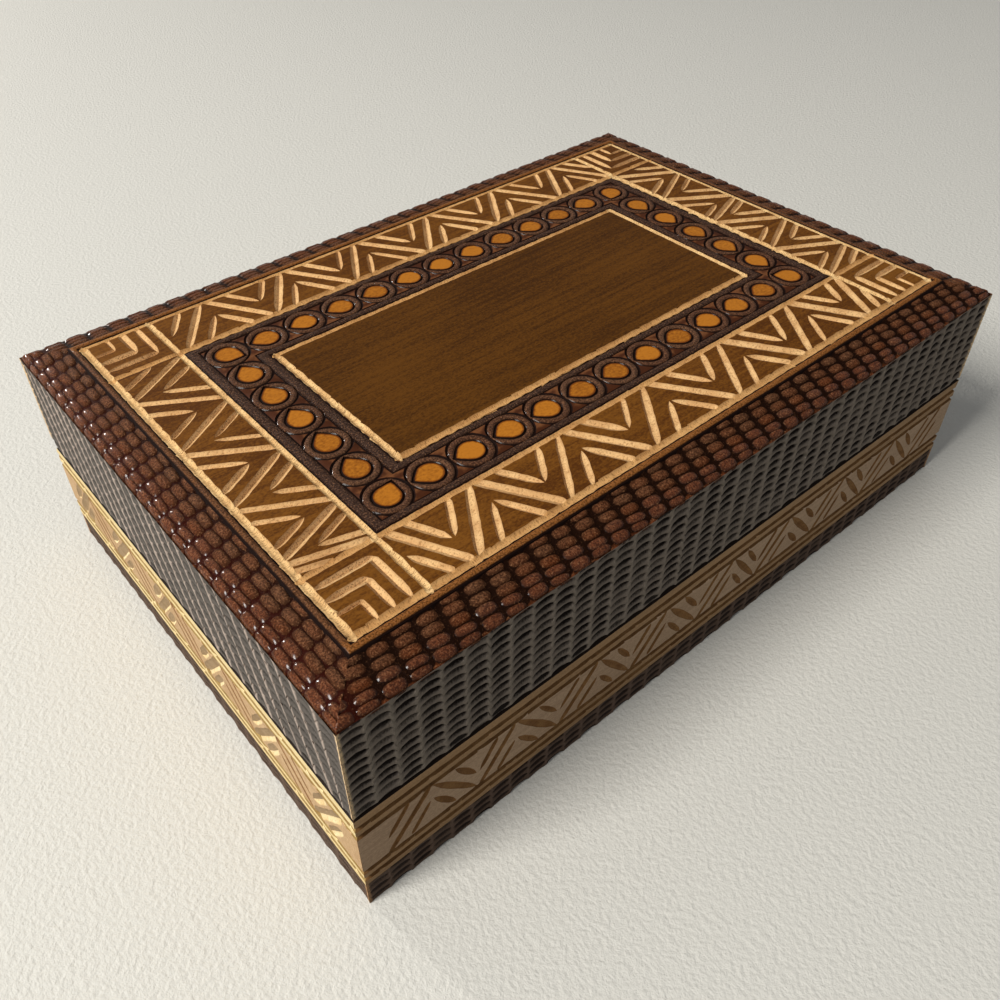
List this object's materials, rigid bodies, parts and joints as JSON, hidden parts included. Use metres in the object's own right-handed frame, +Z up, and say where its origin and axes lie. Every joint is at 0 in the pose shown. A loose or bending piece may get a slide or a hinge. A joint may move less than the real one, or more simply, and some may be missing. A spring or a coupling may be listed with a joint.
{
  "type": "trinket box",
  "caption": "Rectangular limewood trinket box with a stained and carved hinged lid and a pale carved band round its base.",
  "frame": {"origin": "middle of the resting face, under the closed box", "axes": "+X along the long side to the right seen from the front, +Y from the front to the hinges, +Z up"},
  "size_m": [0.178, 0.1216, 0.0555],
  "materials": {
    "lid_top": "brown stain under shellac, with carved lines of pale bare wood",
    "lid_side": "matt grey-black stain over gouged columns",
    "base_wood": "pale bare wood, oiled, with a dark gouged strip along the bottom",
    "inner_wood": "plain sanded wood",
    "hinge_brass": "dull lacquered brass",
    "screw_brass": "dull brass"
  },
  "bodies": {
    "base": {"base_bottom_board": "inner_wood", "base_front_wall": "base_wood", "base_right_wall": "base_wood", "base_back_wall": "base_wood", "base_left_wall": "base_wood", "hinge_left_base_leaf": "hinge_brass", "hinge_left_pin": "hinge_brass", "hinge_left_base_screw_1": "screw_brass", "hinge_left_base_screw_2": "screw_brass", "hinge_right_base_leaf": "hinge_brass", "hinge_right_pin": "hinge_brass", "hinge_right_base_screw_1": "screw_brass", "hinge_right_base_screw_2": "screw_brass"},
    "lid": {"lid_top_board": "lid_top", "lid_front_wall": "lid_side", "lid_right_wall": "lid_side", "lid_back_wall": "lid_side", "lid_left_wall": "lid_side", "hinge_left_lid_leaf": "hinge_brass", "hinge_left_lid_screw_1": "screw_brass", "hinge_left_lid_screw_2": "screw_brass", "hinge_right_lid_leaf": "hinge_brass", "hinge_right_lid_screw_1": "screw_brass", "hinge_right_lid_screw_2": "screw_brass"}
  },
  "joints": [
    {"name": "lid_hinge", "type": "hinge", "parent": "base", "child": "lid", "pos_m": [0, 0.05885, 0.02875], "axis": [-1, 0, 0], "range_deg": [0, 100]}
  ]
}
